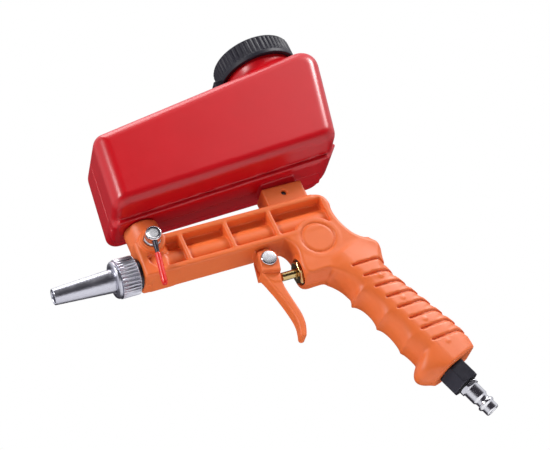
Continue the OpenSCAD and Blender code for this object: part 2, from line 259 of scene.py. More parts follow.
def new_piece(name, points, faces, material, body, slot, *stands_for, weld=1e-7):
    """A smooth-shaded piece from points in millimetres, tied to its body; the CAD nodes it stands for are
    hidden.

    Points that are less than weld metres apart are joined.
    """
    mesh = bpy.data.meshes.new(name)
    mesh.from_pydata((np.asarray(points) * MM).tolist(), [], [list(f) for f in np.asarray(faces).tolist()])
    piece = bpy.data.objects.new(name, mesh)
    bpy.context.scene.collection.objects.link(piece)
    mesh.materials.append(material)
    bm = bmesh.new()
    bm.from_mesh(mesh)
    bmesh.ops.remove_doubles(bm, verts=bm.verts, dist=weld)
    bm.to_mesh(mesh)
    bm.free()
    mesh.polygons.foreach_set("use_smooth", [True] * len(mesh.polygons))
    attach(piece, body)
    if stands_for:
        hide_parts(*stands_for)
    return piece


def filleted(profile, radius, steps=4, closed=True):
    """The profile with each corner turned into a short arc of about that radius."""
    pts = [np.array(p, float) for p in profile]
    out = []
    n = len(pts)
    for i, p in enumerate(pts):
        if not closed and i in (0, n - 1):
            out.append(p)
            continue
        a, b = pts[i - 1], pts[(i + 1) % n]
        reach = min(radius, 0.45 * np.hypot(*(a - p)), 0.45 * np.hypot(*(b - p)))
        a = p + (a - p) / np.hypot(*(a - p)) * reach
        b = p + (b - p) / np.hypot(*(b - p)) * reach
        for t in np.linspace(0, 1, steps):
            out.append((1 - t) ** 2 * a + 2 * t * (1 - t) * p + t * t * b)
    return [tuple(p) for p in out]


def turned(profile, origin, axis, around=96, shape=None, closed=True):
    """Spins (radius, height) points round an axis; shape(radius, height, angle) may change the radius."""
    way = Vector(axis).normalized()
    if abs(way.y) > 0.9:
        side = way.orthogonal().normalized()
    else:
        side = way.cross(Vector((0, 1, 0))).normalized()
    other = way.cross(side)
    way, side, other, origin = (np.array(v, float) for v in (way, side, other, origin))
    angles = np.linspace(0, 2 * math.pi, around, endpoint=False)
    rings = []
    for r, h in profile:
        radius = np.full(around, float(r)) if shape is None else shape(r, h, angles)
        rings.append(origin + h * way + radius[:, None] * (np.cos(angles)[:, None] * side
                                                           + np.sin(angles)[:, None] * other))
    points = np.concatenate(rings)
    faces = []
    count = len(profile)
    for i in range(count if closed else count - 1):
        j = (i + 1) % count
        for k in range(around):
            m = (k + 1) % around
            faces.append((i * around + k, i * around + m, j * around + m, j * around + k))
    return points, faces


def hexed(flats):
    """Trims a turned shape to a hexagon of that half width across its flats; thinner rings stay round."""
    def shape(r, h, angles):
        if r <= flats * 0.9:
            return np.full(angles.shape, float(r))
        wedge = (angles % (math.pi / 3)) - math.pi / 6
        return np.minimum(r, flats / np.cos(wedge))
    return shape


def knurled(full, depth, count, low, high, sharp=1.0):
    """Rounded ribs between two heights on the outer skin of a turned shape, fading out at both ends."""
    skin, run_out = 0.6, 0.8

    def shape(r, h, angles):
        if r < full - skin or h < low or h > high:
            return np.full(angles.shape, float(r))
        fade = min(1.0, (h - low) / run_out, (high - h) / run_out)
        return r - depth * fade * (0.5 - 0.5 * np.cos(count * angles)) ** sharp
    return shape


# ---------------------------------------------------------------- materials

def node(tree, kind, **values):
    made = tree.nodes.new(kind)
    for key, value in values.items():
        if key in made.inputs:
            made.inputs[key].default_value = value
        else:
            setattr(made, key, value)
    return made


def noise(tree, coords, scale, detail=3.0, rough=0.55, stretch=None):
    made = node(tree, "ShaderNodeTexNoise", Scale=scale, Detail=detail, Roughness=rough)
    if stretch is not None:
        mapping = node(tree, "ShaderNodeMapping", Scale=stretch)
        tree.links.new(coords, mapping.inputs["Vector"])
        coords = mapping.outputs["Vector"]
    tree.links.new(coords, made.inputs["Vector"])
    return made.outputs["Fac"]


def ranged(tree, value, low, high, to_low, to_high):
    made = node(tree, "ShaderNodeMapRange")
    for i, v in enumerate((low, high, to_low, to_high), start=1):
        made.inputs[i].default_value = v
    tree.links.new(value, made.inputs[0])
    return made.outputs[0]


def mixed(tree, factor, a, b):
    made = node(tree, "ShaderNodeMix", data_type="RGBA")
    for socket, value in ((made.inputs[6], a), (made.inputs[7], b)):
        if isinstance(value, tuple):
            socket.default_value = (*value, 1)
        else:
            tree.links.new(value, socket)
    tree.links.new(factor, made.inputs[0])
    return made.outputs[2]


def finish_material(name, colour, second, edge, rough, grain, bump, metallic=0.0, stretch=None, **shader):
    """Colour that drifts between two tones, convex edges lightened as wear and as a painted highlight,
    uneven gloss and a fine grain in the surface.
    """
    made = bpy.data.materials.new(name)
    made.use_nodes = True
    tree = made.node_tree
    bsdf = tree.nodes["Principled BSDF"]
    coords = node(tree, "ShaderNodeTexCoord").outputs["Object"]
    broad = ranged(tree, noise(tree, coords, 38.0), 0.35, 0.65, 0.0, 1.0)
    fine = ranged(tree, noise(tree, coords, 420.0, detail=5.0), 0.3, 0.7, 0.0, 0.35)
    base = mixed(tree, broad, colour, second)
    base = mixed(tree, fine, base, tuple(0.95 * c for c in colour))
    # Convex edges are mixed toward the edge colour: partly wear, partly a painted highlight.
    pointed = node(tree, "ShaderNodeNewGeometry").outputs["Pointiness"]
    edge_wear_and_highlight = ranged(tree, pointed, 0.53, 0.62, 0.0, 0.4)
    base = mixed(tree, edge_wear_and_highlight, base, edge)
    tree.links.new(base, bsdf.inputs["Base Color"])
    smudge = noise(tree, coords, 95.0, detail=4.0)
    tree.links.new(ranged(tree, smudge, 0.3, 0.7, rough[0], rough[1]), bsdf.inputs["Roughness"])
    texture = noise(tree, coords, grain, detail=2.0, stretch=stretch)
    relief = node(tree, "ShaderNodeBump", Strength=bump, Distance=0.0002)
    tree.links.new(texture, relief.inputs["Height"])
    tree.links.new(relief.outputs["Normal"], bsdf.inputs["Normal"])
    bsdf.inputs["Metallic"].default_value = metallic
    for key, value in shader.items():
        bsdf.inputs[key.replace("_", " ")].default_value = value
    return made


def materials():
    m = finish_material
    # The third colour of each finish goes on convex edges: partly wear, partly a painted highlight.
    return {
        "orange_plastic": m("orange_plastic", (0.86, 0.172, 0.036), (0.83, 0.16, 0.031), (0.88, 0.23, 0.07),
                            (0.4, 0.5), 2600.0, 0.12, Subsurface_Weight=0.06, Subsurface_Scale=0.003,
                            Subsurface_Radius=(1.0, 0.3, 0.1)),
        "red_plastic": m("red_plastic", (0.56, 0.0018, 0.008), (0.53, 0.0014, 0.0065), (0.60, 0.015, 0.025),
                         (0.29, 0.32), 900.0, 0.0, Coat_Weight=0.08, Coat_Roughness=0.3),
        "cap_plastic": m("cap_plastic", (0.012, 0.011, 0.02), (0.009, 0.008, 0.015), (0.03, 0.03, 0.045),
                         (0.4, 0.55), 2400.0, 0.1, Specular_IOR_Level=0.3),
        "black_steel": m("black_steel", (0.028, 0.027, 0.038), (0.036, 0.034, 0.046), (0.12, 0.115, 0.12),
                         (0.28, 0.42), 1500.0, 0.15, metallic=0.6),
        "nozzle_metal": m("nozzle_metal", (0.60, 0.60, 0.66), (0.54, 0.54, 0.60), (0.8, 0.8, 0.84),
                          (0.26, 0.36), 1500.0, 0.03, metallic=1.0, stretch=(1.0, 0.4, 0.4)),
        "chrome": m("chrome", (0.78, 0.78, 0.80), (0.7, 0.7, 0.73), (0.9, 0.9, 0.9),
                    (0.14, 0.22), 1400.0, 0.03, metallic=1.0),
        "brass": m("brass", (0.60, 0.44, 0.20), (0.50, 0.35, 0.15), (0.85, 0.7, 0.42),
                   (0.16, 0.3), 1400.0, 0.08, metallic=1.0),
        "steel": m("steel", (0.55, 0.55, 0.57), (0.48, 0.48, 0.5), (0.75, 0.75, 0.78),
                   (0.25, 0.4), 1300.0, 0.08, metallic=1.0),
        "rubber": m("rubber", (0.02, 0.02, 0.021), (0.015, 0.015, 0.016), (0.05, 0.05, 0.05),
                    (0.6, 0.75), 2000.0, 0.2),
        "red_sleeve": m("red_sleeve", (0.85, 0.03, 0.02), (0.78, 0.02, 0.014), (0.95, 0.16, 0.12),
                        (0.22, 0.34), 1200.0, 0.05, Subsurface_Weight=0.25, Subsurface_Scale=0.002,
                        Subsurface_Radius=(1.0, 0.2, 0.15)),
        "foam": m("foam", (0.75, 0.74, 0.7), (0.68, 0.67, 0.63), (0.85, 0.84, 0.8),
                  (0.7, 0.85), 1800.0, 0.4),
    }


FINISH = materials()


# ---------------------------------------------------------------- the gun body

def grip_frame(x, z):
    """Distance down the grip and across it."""
    dx, dz = x - GRIP_TOP[0], z - GRIP_TOP[1]
    ss, ts = math.sin(GRIP_TILT), math.cos(GRIP_TILT)
    return dx * ss - dz * ts, dx * ts + dz * ss


def grip_point(s, t):
    ss, ts = math.sin(GRIP_TILT), math.cos(GRIP_TILT)
    return GRIP_TOP[0] + s * ss + t * ts, GRIP_TOP[1] - s * ts + t * ss


def grip_front(s):
    """Shallow arcs for the fingers that meet in soft points, then a hook at the grip's foot."""
    u = ((s - FINGER_FIRST) / FINGER_PITCH % 1) * 2 - 1
    arc = (1 - np.sqrt(1 - (0.95 * u) ** 2)) / (1 - math.sqrt(1 - 0.95 ** 2))
    front = -11.0 - np.maximum(s - 60, 0) * 0.075 - read_off(s, FINGER_DEPTH) * arc
    hook = -24 + 0.12 * (s - 108) ** 2
    return np.where(s < 97, front, soft_min(front, np.minimum(hook, 0), 2.0))


def grip_back(s):
    """The back of the grip, with a small notch where each groove comes round."""
    notch = np.abs((s - GROOVE_FIRST - 12.0) / GROOVE_PITCH % 1 - 0.5) * 2
    ridged = np.clip((s - 24) / 6, 0, 1) * np.clip((109 - s) / 4, 0, 1)
    return read_off(s, BACK_LINE) - 1.5 * ridged * np.clip(notch * 3 - 2, 0, 1) ** 2


def grip_shape(x, y, z):
    """Rounded in front for the fingers, squarer behind, and thinner towards its back and its top."""
    s, t = grip_frame(x, z)
    middle = 0.8
    front, back = grip_front(s), grip_back(s)
    ahead = t < middle
    reach = np.where(ahead, middle - front, back - middle)
    half = GRIP_HALF - 2.6 * np.clip((t - middle) / 22, 0, 1.2)
    half = half - np.where(s < 22, 2.0 * (22 - s) / 22, 0)
    u = np.abs(t - middle) / reach
    v = np.abs(y) / half
    power = np.where(ahead, 2.35, 4.2)
    size = (u ** power + v ** power) ** (1 / power)
    radius = np.hypot(t - middle, y)
    body = radius * (1 - 1 / np.maximum(size, 0.05))
    return round_max(body, span(s, 4, GRIP_LEN), 1.6)


def groove_line(k):
    """A level groove in the grip's side that hooks down round its back edge."""
    s = GROOVE_FIRST + GROOVE_PITCH * k
    x0, z0 = grip_point(s, -1.6 + 0.35 * k)
    x1, z1 = grip_point(s + 5.9, float(grip_back(s + 6)) - 5.6 - (3.5 if k == 0 else 0))
    return [(x0, z0, 0.95), (x1, z1, 0.95), (x1 + 2.2, z1 - 0.7, 1.0), (x1 + 4.6, z1 - 2.8, 1.1),
            (x1 + 7.2, z1 - 6.0, 1.1)]


def groove_cut(clay, k):
    line = groove_line(k)
    xs, zs = [p[0] for p in line], [p[1] for p in line]
    part, x, y, z = clay.window((min(xs) - 3, -30, min(zs) - 3), (max(xs) + 3, 30, max(zs) + 3))
    skin = clay.d[part]
    clay.d[part] = soft_max(skin, np.minimum(-chain(line, x, z), skin + GROOVE_DEPTH), 0.35)


def raised_spots(clay):
    """A small round spot beside every second groove."""
    for k in range(1, GROOVES, 2):
        x0, z0 = grip_point(GROOVE_FIRST + GROOVE_PITCH * k + 7.5, 8.5)
        part, x, y, z = clay.window((x0 - 3, -20, z0 - 3), (x0 + 3, 20, z0 + 3))
        spot = np.hypot(x - x0, z - z0) - 1.6
        clay.d[part] = soft_min(clay.d[part], np.maximum(clay.d[part] - 0.35, spot), 0.5)


SHOULDER = curved([(171.5, -9), (174.5, -14.2), (176.3, -20), (175.8, -28), (174.8, -36), (175.8, -41),
                   (180, -43), (188, -42.8), (193.6, -43.2), (198.4, -46.8), (204, -53), (210, -60),
                   (226, -60), (230, -50), (234, -42), (237.2, -36), (236.4, -31), (233, -28.8),
                   (227.2, -24.2), (221.7, -17.9), (217.2, -7.3), (215.7, 2.4), (216.6, 9.3),
                   (214.6, 15.6), (209.3, 19.0), (200, 19.2), (190, 8), (180, -4)])


def front_block(x, y, z):
    """Flat in front, where the collar sits, with rounded upright corners; it leans back a little."""
    front = BLOCK_FRONT - 0.2 + 0.05 * (z - BARREL_LOW) - x
    sides = round_max(np.maximum(front, x - 90), np.abs(y) - BARREL_HALF, BLOCK_CORNER)
    return round_max(sides, span(z, BARREL_LOW, BARREL_TOP), 1.4)


def pockets(clay):
    """Four deep pockets a side between upright ribs, and a shallow hollow beside the feed boss."""
    edges = [POCKET[0]] + [RIB_FIRST + RIB_PITCH * k for k in range(3)] + [POCKET[1]]
    for k in range(4):
        x0 = edges[k] + (0 if k == 0 else RIB / 2)
        x1 = edges[k + 1] - (0 if k == 3 else RIB / 2)

        def pocket(x, y, z):
            draft = 0.05 * (BARREL_HALF - np.abs(y))
            opening = round_max(span(x, x0, x1) + draft, span(z, POCKET[2], POCKET[3]) + draft, 1.3)
            return round_max(opening, WEB_HALF - np.abs(y), 0.8)
        clay.cut(pocket, (x0 - 3, -16, POCKET[2] - 3), (x1 + 3, 16, POCKET[3] + 3), 0.5)
    shallow = [(70.6, 4.5), (74, 8.5), (80, 8.5), (89, 15), (89, -6), (76, -6), (71.4, -1)]
    clay.cut(lambda x, y, z: round_max(outline(shallow, x, z), 10.4 - np.abs(y), 0.8),
             (66, -16, -10), (92, 16, 18), 0.5)


def masses(clay):
    """Barrel, socket and shoulder; then the pockets; then the duct, grip, bosses, post and lug."""
    post_from, post_to, post_half, post_top = POST
    medal_x, medal_z, medal_r = MEDALLION
    barrel = [(70, BARREL_LOW), (206, BARREL_LOW), (206, BARREL_TOP), (70, BARREL_TOP)]
    clay.add(plate(barrel, BARREL_HALF, 1.3), (60, -20, -20), (212, 20, 26))
    clay.add(front_block, (55, -22, -20), (96, 22, 26), 0.8)
    clay.add(along_z(SOCKET_R, FEED_X, -5, SOCKET_TOP, 1.0), (60, -18, -8), (96, 18, 40), 1.0)
    clay.add(plate(SHOULDER, BARREL_HALF - 0.2, 2.6), (165, -20, -70), (245, 20, 26), 0.8)
    pockets(clay)
    clay.add(along_x(DUCT_R, 72, 212.5), (68, -18, -18), (216, 18, 18), 0.6)
    clay.add(along_z(SOCKET_R - 0.6, FEED_X, 5.5, 22, 0.4), (62, -18, 0), (94, 18, 26), 0.5)
    clay.add(grip_shape, (180, -22, -150), (268, 22, -24), 5.0)
    clay.add(along_y(medal_r, medal_x, medal_z, 0.2 - BARREL_HALF, BARREL_HALF - 0.2, 0.5),
             (172, -18, -38), (218, 18, 6), 0.6)
    clay.add(along_x(11.2, 174.6, 205, VALVE_Z, 1.6), (168, -16, -50), (212, 16, -16), 3.0)
    clay.add(along_y(BOSS_R + 0.6, FEED_X, FEED_Z, -BARREL_HALF - 3, BARREL_HALF + 1, 1.0),
             (60, -20, 0), (96, 20, 32), 0.8)
    clay.add(block(post_from, post_to, -post_half, post_half, 17, post_top, 0.9),
             (166, -16, 12), (212, 16, 40), 0.8)
    lug = [(PIVOT[0] - 6, PIVOT[1]), (PIVOT[0] + 6, PIVOT[1]), (PIVOT[0] + 6, -9), (PIVOT[0] - 6, -9)]
    clay.add(plate(lug, 5.5, 0.5), (144, -10, -30), (166, 10, -4), 0.6)
    clay.add(along_y(6, *PIVOT, -5.5, 5.5), (144, -10, -32), (166, 10, -10), 0.3)


def medallion_rings(clay):
    """A shallow round groove in the medallion on each side."""
    for side in (-1, 1):
        def ring(x, y, z):
            groove = np.abs(np.hypot(x - MEDALLION[0], z - MEDALLION[1]) - RING_R) - 0.75
            return round_max(groove, BARREL_HALF - 1.1 - side * y, 0.2)
        clay.cut(ring, (180, -18, -32), (212, 18, 0), 0.3)


def bores(clay):
    """Collar, hopper socket, feed spindle, trigger pin, valve, hopper pin, hopper tongue and air inlet."""
    clay.cut(along_x(9.5, 50, 72), (50, -14, -14), (76, 14, 14), 0.4)
    clay.cut(along_z(5.5, FEED_X, 5, 60), (66, -12, 2), (90, 12, 45))
    clay.cut(along_z(8.8, FEED_X, 25, 60), (66, -12, 22), (90, 12, 45), 0.3)
    clay.cut(along_z(GASKET_R, FEED_X, GASKET_Z, 60, 0.1), (62, -14, 30), (94, 14, 45))
    clay.cut(along_y(SPINDLE_R + 0.1, FEED_X, FEED_Z, *THROUGH), (68, -22, 6), (88, 22, 26), 0.3)
    clay.cut(along_y(PIN_HOLE_R, *PIVOT, *THROUGH), (148, -22, -28), (162, 22, -12), 0.2)
    clay.cut(along_x(GLAND_BORE, 160, 177, VALVE_Z), (160, -16, -48), (182, 16, -20), 0.5)
    clay.cut(along_x(VALVE_BORE, 160, 222, VALVE_Z), (160, -16, -48), (228, 16, -20))
    clay.cut(along_y(POST_HOLE_R, *POST_HOLE, *THROUGH), (182, -22, 22), (195, 22, 34), 0.3)
    clay.cut(block(182.1, 194.5, -4.2, 4.2, 22.9, 60, 0.3), (178, -8, 18), (199, 8, 45), 0.2)

    def inlet(x, y, z):
        s, t = grip_frame(x, z)
        return round_max(np.hypot(t - DUCT_T, y) - 6.8, 104 - s, 0.3)
    clay.cut(inlet, (230, -12, -150), (266, 12, -110), 0.4)


def gun_body():
    clay = Clay((BLOCK_FRONT - 1, -17, -150), (266, 17, 36), BODY_CELL)
    masses(clay)
    medallion_rings(clay)
    for k in range(GROOVES):
        groove_cut(clay, k)
    raised_spots(clay)
    bores(clay)
    points, faces = clay.surface()
    return new_piece("gun_body_shell", points, faces, FINISH["orange_plastic"], "gun", "orange_plastic",
                     "gun_body", weld=1.2e-4)


# ---------------------------------------------------------------- the trigger

SPINE = [(153.6, -29, 6.2), (153.8, -36, 5.0), (154.8, -44, 3.7), (156.2, -52, 3.2), (157.6, -60.5, 3.0),
         (158.5, -68, 2.9), (158.2, -74.5, 2.7), (156.9, -79.5, 2.5), (155.6, -83, 2.3)]


def trigger():
    """A forked head over the pivot and a curved blade below it."""
    clay = Clay((142, -10, -88), (164, 10, -11), TRIGGER_CELL)
    ears = [(149.2, -12.9), (157, -12.3), (161.8, -17), (162, -23), (159.8, -31.7), (146.2, -28.6)]
    clay.add(plate(ears, 9.0, 0.8), (140, -12, -36), (166, 12, -8))
    heel = [(146.6, -24), (160, -24), (159.8, -32.5), (157.5, -39), (152.5, -38), (149, -34.5),
            (146.8, -30)]
    clay.add(plate(heel, 5.6, 1.0), (140, -12, -44), (166, 12, -20), 0.6)
    blade = smoothed(SPINE)
    clay.add(lambda x, y, z: round_max(chain(blade, x, z), np.abs(y) - 5.6, 1.5),
             (140, -12, -92), (166, 12, -20), 1.5)
    clay.cut(block(100, 200, -5.8, 5.8, -27.2, 20, 0.3), (130, -12, -40), (180, 12, 0), 0.2)
    clay.cut(along_y(PIN_HOLE_R, *PIVOT, *THROUGH), (150, -12, -26), (160, 12, -15), 0.2)
    points, faces = clay.surface()
    return new_piece("trigger_lever", points, faces, FINISH["orange_plastic"], "trigger", "orange_plastic",
                     "trigger", weld=8e-5)


# ---------------------------------------------------------------- the hopper

def under_z(x):
    return 34 + UNDER_SLOPE * (x - 57)


def roof_z(x):
    return 106.7 + ROOF_SLOPE * (x - 79)


def part_way(x):
    """0 at the hopper's front, 1 at its rear."""
    return (x - TANK_FRONT) / (TANK_REAR - TANK_FRONT)


def tank_shape(x, y, z):
    """The wedge with leaning sides, sloping under to a narrow keel that has a bead along its foot."""
    along = np.clip(part_way(x), -0.1, 1.15)
    crease = 33 + 5 * along
    keel = 11.3 + 4.7 * along
    low = under_z(x)
    off = np.abs(y)
    height = np.clip((z - low - 12) / (roof_z(x) - low - 12), 0, 1.2)
    side = off - crease + 1.0 * height + 1.6 * height ** 2
    slope = 2.2 / (crease - keel - 6)
    band = (low + 4.2 + (off - keel - 2.5) * slope - z) / np.sqrt(1 + slope * slope)
    roof = (z - roof_z(x)) / math.hypot(1, ROOF_SLOPE)
    front = (TANK_FRONT + FRONT_LEAN * (z - 35) - x) / math.hypot(1, FRONT_LEAN)
    rear = (x - TANK_REAR - REAR_LEAN * (z - 45)) / math.hypot(1, REAR_LEAN)
    profile = round_max(roof, rear, 19.0)
    profile = round_max(profile, front, 7.0)
    upper = round_max(side, profile, 11.0)
    upper = round_max(upper, band, 7.0)
    lower = round_max(off - keel, low - z, 1.3)
    lower_ends = np.maximum(front, (x - 234.5 - 0.9 * (z - 46)) / 1.35)
    lower = round_max(lower, lower_ends, 5.0)
    lower = np.maximum(lower, z - low - 12)
    body = soft_min(upper, lower, 1.0)
    bead = np.hypot(off - keel - 0.5, z - low - 2.2) - 1.9
    bead = np.maximum(bead, np.maximum(front + 3.0, rear + 5.0))
    return soft_min(body, bead, 0.35)


def seam():
    """The fine raised parting line down the hopper's front and along its underside."""
    sunk, proud, foot, crest = 0.3, 0.22, 0.4, 0.16
    path = [(TANK_FRONT + FRONT_LEAN * (z - 35), z, -1.0, FRONT_LEAN) for z in np.linspace(98, 40, 12)]
    corner = (TANK_FRONT + 5.3, under_z(TANK_FRONT) + 5.3)
    for a in np.linspace(0.1, 0.9, 6) * math.pi / 2:
        path.append((corner[0] - 5 * math.cos(a), corner[1] - 5 * math.sin(a), -math.cos(a), -math.sin(a)))
    path += [(x, under_z(x), 0.0, -1.0) for x in np.linspace(64, 226, 20)]
    points = []
    for x, z, nx, nz in path:
        x_low, z_low, x_high, z_high = x - sunk * nx, z - sunk * nz, x + proud * nx, z + proud * nz
        points += [(x_low, -foot, z_low), (x_high, -crest, z_high), (x_high, crest, z_high),
                   (x_low, foot, z_low)]
    faces = [(4 * i + j, 4 * i + (j + 1) % 4, 4 * i + 4 + (j + 1) % 4, 4 * i + 4 + j)
             for i in range(len(path) - 1) for j in range(4)]
    last = 4 * (len(path) - 1)
    faces += [(3, 2, 1, 0), (last, last + 1, last + 2, last + 3)]
    return new_piece("hopper_seam", points, faces, FINISH["red_plastic"], "gun", "red_plastic")


def hopper():
    """A hollow shell with a neck, a spout into the gun's socket and a pinned tongue in the rear post."""
    clay = Clay((TANK_FRONT - 1, -38.6, 23), (258, 38.6, NECK_TOP), HOPPER_CELL)
    part, x, y, z = clay.everywhere()
    solid = tank_shape(x, y, z)
    neck = round_max(np.hypot(x - NECK_X, y) - NECK_R, z - NECK_TOP, 0.8)
    neck = np.maximum(neck, 118 - z)
    solid = soft_min(solid, neck, 5.0)
    clay.d[part] = np.maximum(solid, -(solid + WALL))
    clay.cut(along_z(NECK_R - 2.8, NECK_X, 138, 170), (180, -40, 130), (250, 40, 160))
    clay.add(along_z(8.6, FEED_X, 25.2, 40), (66, -12, 20), (90, 12, 46), 0.6)
    clay.add(block(POST[0] + 2, POST[0] + 29.5, -8.5, 8.5, 35.3, 44), (168, -14, 32), (208, 14, 50), 0.8)
    clay.add(block(182.4, 194.2, -3.9, 3.9, 23.2, 42), (178, -8, 20), (199, 8, 48), 0.4)
    clay.cut(along_z(6.2, FEED_X, 10, 40), (66, -12, 18), (90, 12, 44))
    clay.cut(along_y(POST_HOLE_R, *POST_HOLE, *THROUGH), (182, -8, 22), (195, 8, 34))
    points, faces = clay.surface()
    return new_piece("hopper_shell", points, faces, FINISH["red_plastic"], "gun", "red_plastic", "hopper",
                     weld=2.2e-4)


# ---------------------------------------------------------------- turned pieces

def turned_piece(name, profile, origin, axis, finish, body, *stands_for, fillet=0.3, **how):
    """A profile with its corners filleted, spun round its axis, with all faces turned outwards."""
    points, faces = turned(filleted(profile, fillet, closed=how.get("closed", True)), origin, axis, **how)
    piece = new_piece(name, points, faces, FINISH[finish], body, finish, *stands_for)
    bm = bmesh.new()
    bm.from_mesh(piece.data)
    bmesh.ops.recalc_face_normals(bm, faces=bm.faces)
    bm.to_mesh(piece.data)
    bm.free()
    return piece


def nozzle_parts():
    along = (1, 0, 0)
    zero = (0, 0, 0)
    tube = [(4.6, 0.7), (5.2, 0), (5.6, 0), (5.9, 0.4), (7.9, 33), (8.4, 41), (8.4, 47.1), (10.6, 47.1),
            (10.6, 49.7), (6.4, 49.7), (4.6, 36)]
    turned_piece("nozzle_tube", tube, zero, along, "nozzle_metal", "nozzle", "nozzle", fillet=0.35)
    nut = [(8.7, 44), (10.8, 44), (12.6, 44.4), (13.5, 45.5), (13.6, 46.6), (12.6, 47.0), (14.3, 47.4),
           (14.3, 60.4), (13.7, 61), (11.4, 61), (11.4, 47), (8.7, 47)]
    turned_piece("nozzle_nut_knurled", nut, zero, along, "nozzle_metal", "nut", "nozzle_nut", fillet=0.25,
                 around=680,
                 shape=knurled(full=14.3, depth=2.3, count=32, low=47.4, high=60.7, sharp=1.1))
    collar = [(6.5, 51), (11.3, 51), (11.3, 63.7), (9.4, 63.7), (9.4, 71.8), (6.5, 71.8)]
    turned_piece("nozzle_collar_sleeve", collar, zero, along, "black_steel", "gun", "nozzle_collar")


def feed_lever_parts():
    """The knob on the spindle's end, and the lever's wire and sleeve hanging from it at a slight lean."""
    knob = [(0, 24.6), (3.4, 24.6), (4.3, 24.7), (4.9, 25.0), (5.4, 24.8), (5.8, 24.2), (5.8, 18.6),
            (5.2, 18.0), (5.2, 17.5), (5.7, 17.0), (5.7, 16.7), (0, 16.7)]
    turned_piece("feed_knob_button", knob, (FEED_X, 0, FEED_Z), (0, -1, 0), "chrome", "feed_lever",
                 "feed_knob", closed=False)
    lean = math.radians(LEVER_LEAN)
    down = (-math.sin(lean), 0, -math.cos(lean))
    hang = (FEED_X, LEVER_Y, FEED_Z)
    wire = [(0, 2.4), (1.5, 2.4), (1.9, 5.0), (1.9, 9.5), (1.5, 13.5), (1.5, 38.8), (0, 38.8)]
    turned_piece("lever_wire_rod", wire, hang, down, "black_steel", "feed_lever", "lever_wire",
                 fillet=0.8, closed=False, around=48)
    sleeve = [(1.52, 15.4), (1.9, 15.4), (2.15, 15.9), (2.2, 17), (2.2, 39.2), (1.7, 40.7), (1.0, 41),
              (0.7, 40.4), (0, 40.2), (0, 39), (1.52, 39)]
    turned_piece("lever_sleeve_tip", sleeve, hang, down, "red_sleeve", "feed_lever", "lever_sleeve",
                 fillet=0.4, around=64)


def valve_parts():
    back = (1, 0, 0)
    centre = (0, 0, VALVE_Z)
    pin = [(0, -10.6), (2.0, -10.6), (5.1, -10.58), (5.6, -10.4), (5.9, -10.0), (5.9, -9.4), (5.5, -9.2),
           (2.5, -9.2), (2.5, 10.6), (0, 10.6)]
    turned_piece("trigger_pin_button", pin, (PIVOT[0], 0, PIVOT[1]), (0, 1, 0), "chrome", "gun",
                 "trigger_pin", fillet=0.25, closed=False)
    stem = [(0, 160.4), (2.2, 160.45), (2.8, 160.8), (3.2, 161.6), (3.2, 194), (1.6, 194), (1.6, 202.6),
            (0, 202.6)]
    turned_piece("valve_pin_rod", stem, centre, back, "brass", "valve_stem", "valve_pin", closed=False)
    gland = [(3.25, 173.1), (3.9, 172.5), (7.4, 172.5), (9.2, 173.4), (9.2, 175.5), (8.4, 176), (7.5, 176),
             (7.5, 190), (3.25, 190)]
    turned_piece("valve_gland_nut", gland, centre, back, "brass", "gun", "valve_gland",
                 fillet=0.2, around=192, shape=hexed(GLAND_FLATS))


def inlet_parts():
    """The hexagonal adapter under the grip and the quick-connect plug in it."""
    x0, z0 = grip_point(GRIP_LEN, DUCT_T)
    down = (math.sin(GRIP_TILT), 0, -math.cos(GRIP_TILT))
    adapter = [(4, -11.8), (6.5, -11.8), (6.5, 0.05), (10.6, 0.05), (12.1, 1.0), (12.1, 14.2),
               (10.6, 15.25), (5.1, 15.25), (5.1, 2.4), (4, 2.4)]
    turned_piece("inlet_adapter_hex", adapter, (x0, 0, z0), down, "black_steel", "gun", "inlet_adapter",
                 fillet=0.25, around=192, shape=hexed(ADAPTER_FLATS))
    end = (x0 + ADAPTER_LEN * down[0], 0, z0 + ADAPTER_LEN * down[2])
    plug = [(3.4, -10.9), (4.95, -10.9), (4.95, 1.05), (7.3, 1.1), (8.05, 1.6), (8.05, 3.7), (7.3, 4.15),
            (6.3, 4.3), (6.3, 13.2), (5.2, 14.7), (5.2, 17.4), (6.5, 18.3), (6.7, 19.1), (6.5, 19.9),
            (5.4, 21), (5.4, 25.4), (4.9, 26.25), (3.9, 26.25), (3.4, 25.7)]
    turned_piece("inlet_plug_nipple", plug, end, down, "chrome", "gun", "inlet_plug",
                 fillet=0.35, around=192, shape=hexed(PLUG_FLATS))


def cap_part():
    """A flat cap with fine ribs in groups; the ribs are shallower where two groups meet."""
    rim, top, skirt = CAP_R - 0.1, CAP_H - 0.1, NECK_R + 0.5
    profile = [(skirt, 0), (CAP_R - 0.3, 0), (CAP_R, 0.5), (CAP_R, 3.2), (CAP_R - 0.35, 3.6), (rim, 4.2),
               (rim, 10), (rim, CAP_H - 2), (CAP_R - 1.2, CAP_H - 0.6), (CAP_R - 3, top), (CAP_R - 6, top),
               (CAP_R - 7, CAP_H - 0.7), (0, CAP_H - 0.7), (0, CAP_H - 3), (skirt, CAP_H - 3)]
    ribs = knurled(full=CAP_R, depth=0.75, count=CAP_RIBS, low=3.7, high=CAP_H - 1.4, sharp=0.45)

    def shape(r, h, angles):
        ribbed = ribs(r, h, angles)
        grouped = np.sin(CAP_RIBS / 8 * angles) > -0.92
        return np.where(grouped, ribbed, np.minimum(float(r), ribbed + 0.3))
    turned_piece("hopper_cap_ribbed", profile, (NECK_X, 0, CAP_LOW), (0, 0, 1), "cap_plastic", "cap",
                 "hopper_cap", fillet=0.5, around=896, shape=shape)


